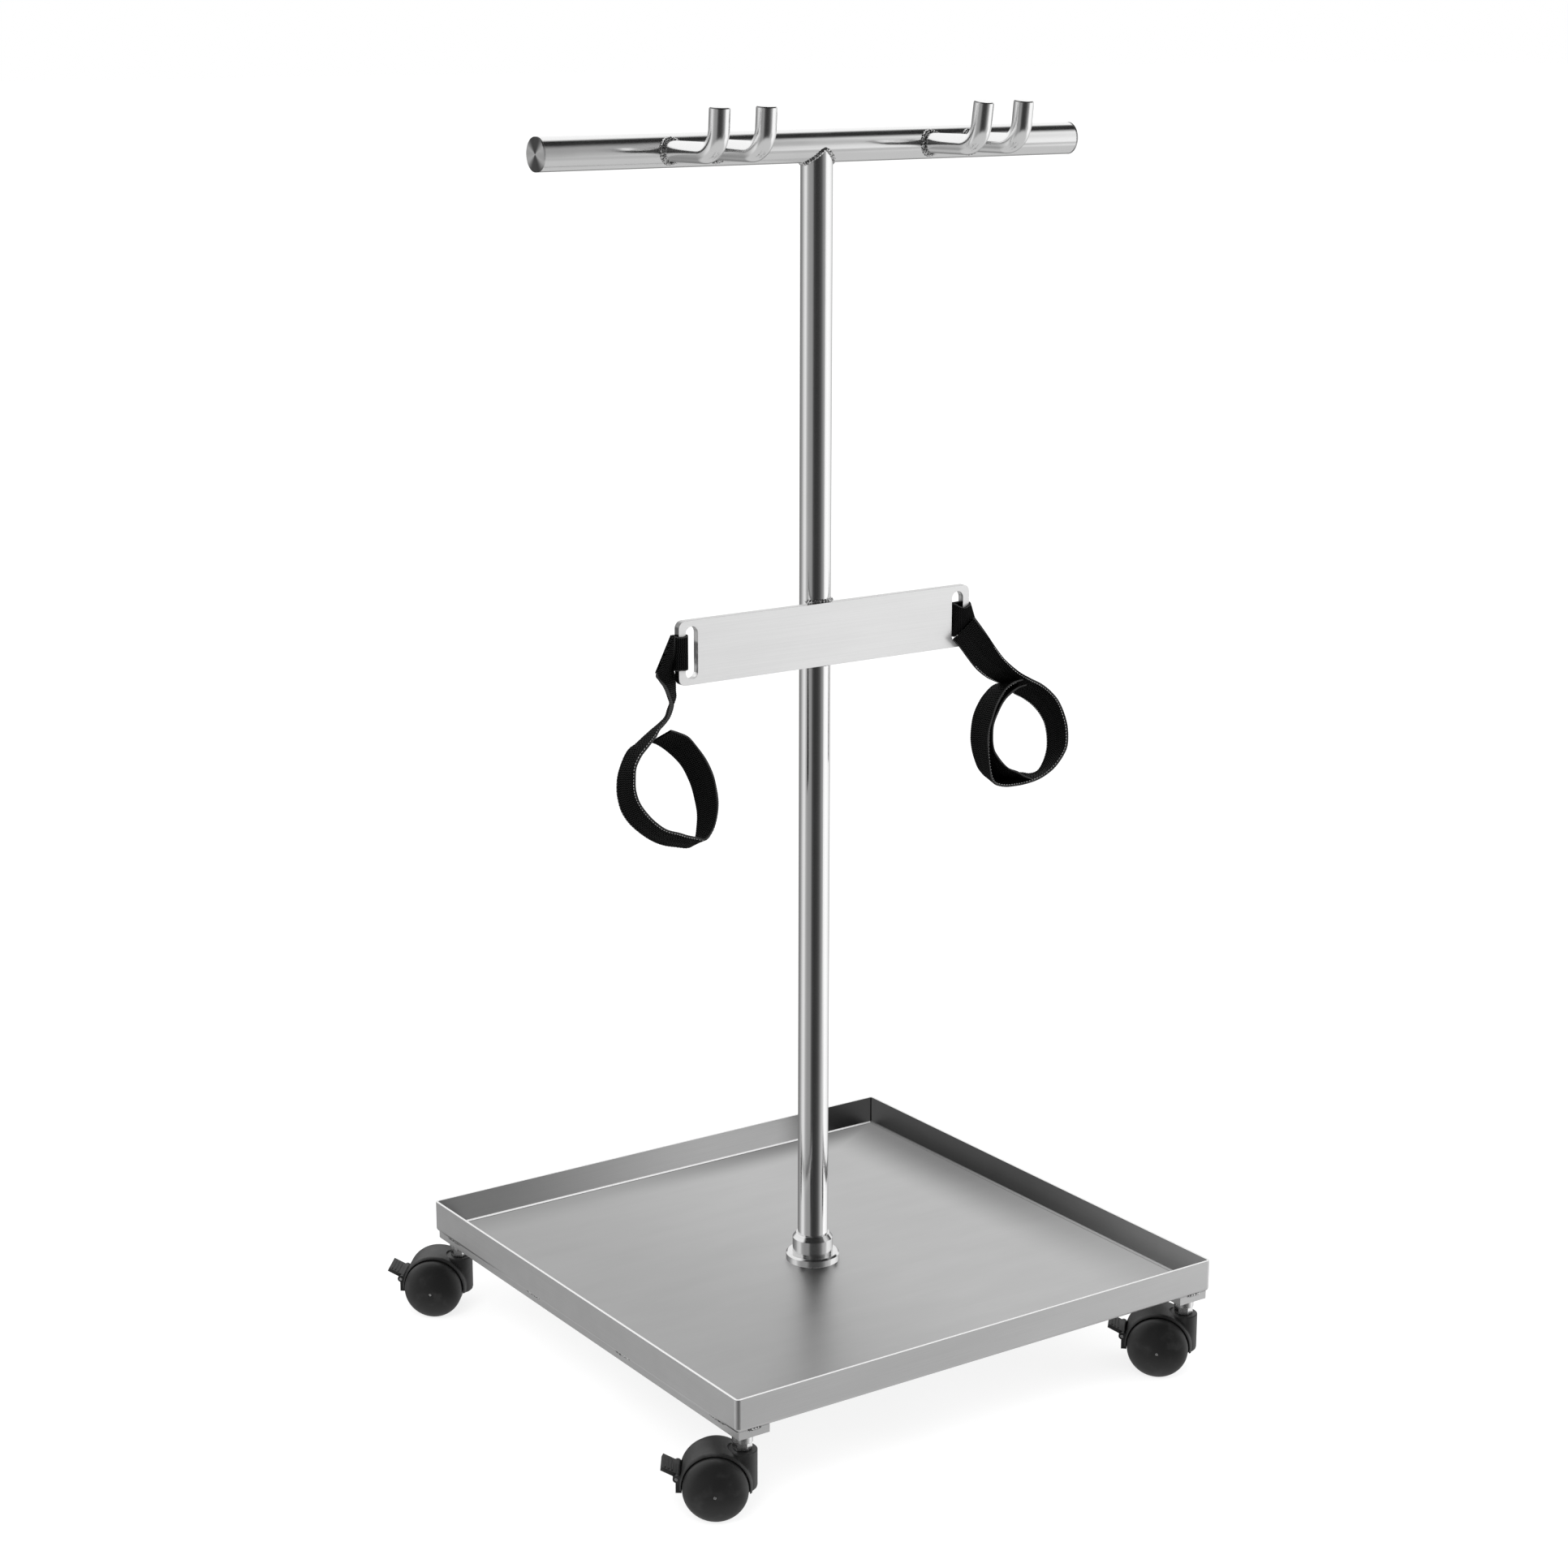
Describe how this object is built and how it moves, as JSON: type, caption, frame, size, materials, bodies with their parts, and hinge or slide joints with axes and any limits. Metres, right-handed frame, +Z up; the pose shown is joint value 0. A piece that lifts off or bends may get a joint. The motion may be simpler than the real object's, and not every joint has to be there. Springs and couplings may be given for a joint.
{
  "type": "iv drip stand",
  "caption": "Mobile steel drip stand: square tray on braked twin-wheel castors, post with a T-bar, upright bag hooks and a slotted plate with two fabric straps.",
  "frame": {"origin": "on the floor under the post's axis", "axes": "+X along the T-bar, -Y towards the side the hooks point to, +Z up"},
  "size_m": [0.5297, 0.5102, 1.0326],
  "materials": {
    "satin_steel": "brushed satin",
    "polished_steel": "polished",
    "turned_steel": "turned",
    "zinc_steel": "bright zinc plated",
    "black_nylon": "fine moulded grain",
    "webbing": "ribbed woven webbing"
  },
  "bodies": {
    "stand": {"tray": "satin_steel", "rail_left": "satin_steel", "rail_right": "satin_steel", "castor_weld_nuts": "zinc_steel", "castor_stems": "zinc_steel", "stem_retaining_rings": "zinc_steel", "post_collar": "turned_steel", "post_tube": "polished_steel", "post_plug": "zinc_steel", "post_bolt": "zinc_steel", "post_washer": "zinc_steel", "t_bar": "polished_steel", "t_bar_cap_left": "turned_steel", "t_bar_cap_right": "turned_steel", "hook_left_outer": "polished_steel", "hook_left_inner": "polished_steel", "hook_right_inner": "polished_steel", "hook_right_outer": "polished_steel", "strap_plate": "satin_steel"},
    "left_strap": {"strap_left": "webbing"},
    "right_strap": {"strap_right": "webbing"},
    "front_left_castor": {"front_left_housing": "black_nylon", "front_left_axle": "zinc_steel", "front_left_brake_pin": "zinc_steel"},
    "front_left_inner_wheel": {"front_left_wheel_inner": "black_nylon"},
    "front_left_outer_wheel": {"front_left_wheel_outer": "black_nylon"},
    "front_left_brake": {"front_left_brake_lever": "black_nylon"},
    "front_right_castor": {"front_right_housing": "black_nylon", "front_right_axle": "zinc_steel", "front_right_brake_pin": "zinc_steel"},
    "front_right_inner_wheel": {"front_right_wheel_inner": "black_nylon"},
    "front_right_outer_wheel": {"front_right_wheel_outer": "black_nylon"},
    "front_right_brake": {"front_right_brake_lever": "black_nylon"},
    "back_left_castor": {"back_left_housing": "black_nylon", "back_left_axle": "zinc_steel", "back_left_brake_pin": "zinc_steel"},
    "back_left_inner_wheel": {"back_left_wheel_inner": "black_nylon"},
    "back_left_outer_wheel": {"back_left_wheel_outer": "black_nylon"},
    "back_left_brake": {"back_left_brake_lever": "black_nylon"},
    "back_right_castor": {"back_right_housing": "black_nylon", "back_right_axle": "zinc_steel", "back_right_brake_pin": "zinc_steel"},
    "back_right_inner_wheel": {"back_right_wheel_inner": "black_nylon"},
    "back_right_outer_wheel": {"back_right_wheel_outer": "black_nylon"},
    "back_right_brake": {"back_right_brake_lever": "black_nylon"}
  },
  "joints": [
    {"name": "front_left_swivel", "type": "hinge", "parent": "stand", "child": "front_left_castor", "pos_m": [-0.22, -0.22, 0.04], "axis": [0, 0, 1], "continuous": true},
    {"name": "front_left_inner_wheel_spin", "type": "hinge", "parent": "front_left_castor", "child": "front_left_inner_wheel", "pos_m": [-0.23622, -0.20864, 0.025], "axis": [-0.5736, -0.8192, 0], "continuous": true},
    {"name": "front_left_outer_wheel_spin", "type": "hinge", "parent": "front_left_castor", "child": "front_left_outer_wheel", "pos_m": [-0.23622, -0.20864, 0.025], "axis": [-0.5736, -0.8192, 0], "continuous": true},
    {"name": "front_left_brake_press", "type": "hinge", "parent": "front_left_castor", "child": "front_left_brake", "pos_m": [-0.26022, -0.19184, 0.031], "axis": [-0.5736, -0.8192, 0], "range_deg": [0, 18]},
    {"name": "front_right_swivel", "type": "hinge", "parent": "stand", "child": "front_right_castor", "pos_m": [0.22, -0.22, 0.04], "axis": [0, 0, 1], "continuous": true},
    {"name": "front_right_inner_wheel_spin", "type": "hinge", "parent": "front_right_castor", "child": "front_right_inner_wheel", "pos_m": [0.20576, -0.20625, 0.025], "axis": [-0.6947, -0.7193, 0], "continuous": true},
    {"name": "front_right_outer_wheel_spin", "type": "hinge", "parent": "front_right_castor", "child": "front_right_outer_wheel", "pos_m": [0.20576, -0.20625, 0.025], "axis": [-0.6947, -0.7193, 0], "continuous": true},
    {"name": "front_right_brake_press", "type": "hinge", "parent": "front_right_castor", "child": "front_right_brake", "pos_m": [0.18468, -0.18589, 0.031], "axis": [-0.6947, -0.7193, 0], "range_deg": [0, 18]},
    {"name": "back_left_swivel", "type": "hinge", "parent": "stand", "child": "back_left_castor", "pos_m": [-0.22, 0.22, 0.04], "axis": [0, 0, 1], "continuous": true},
    {"name": "back_left_inner_wheel_spin", "type": "hinge", "parent": "back_left_castor", "child": "back_left_inner_wheel", "pos_m": [-0.23517, 0.23273, 0.025], "axis": [-0.6428, -0.766, 0], "continuous": true},
    {"name": "back_left_outer_wheel_spin", "type": "hinge", "parent": "back_left_castor", "child": "back_left_outer_wheel", "pos_m": [-0.23517, 0.23273, 0.025], "axis": [-0.6428, -0.766, 0], "continuous": true},
    {"name": "back_left_brake_press", "type": "hinge", "parent": "back_left_castor", "child": "back_left_brake", "pos_m": [-0.25761, 0.25156, 0.031], "axis": [-0.6428, -0.766, 0], "range_deg": [0, 18]},
    {"name": "back_right_swivel", "type": "hinge", "parent": "stand", "child": "back_right_castor", "pos_m": [0.22, 0.22, 0.04], "axis": [0, 0, 1], "continuous": true},
    {"name": "back_right_inner_wheel_spin", "type": "hinge", "parent": "back_right_castor", "child": "back_right_inner_wheel", "pos_m": [0.20483, 0.23273, 0.025], "axis": [-0.6428, -0.766, 0], "continuous": true},
    {"name": "back_right_outer_wheel_spin", "type": "hinge", "parent": "back_right_castor", "child": "back_right_outer_wheel", "pos_m": [0.20483, 0.23273, 0.025], "axis": [-0.6428, -0.766, 0], "continuous": true},
    {"name": "back_right_brake_press", "type": "hinge", "parent": "back_right_castor", "child": "back_right_brake", "pos_m": [0.18239, 0.25156, 0.031], "axis": [-0.6428, -0.766, 0], "range_deg": [0, 18]},
    {"name": "left_strap_swing", "type": "hinge", "parent": "stand", "child": "left_strap", "pos_m": [-0.13935, -0.0157, 0.6138], "axis": [0, 0, 1], "range_deg": [-25, 25]},
    {"name": "right_strap_swing", "type": "hinge", "parent": "stand", "child": "right_strap", "pos_m": [0.13935, -0.0157, 0.6138], "axis": [0, 0, 1], "range_deg": [-8, 25]}
  ]
}
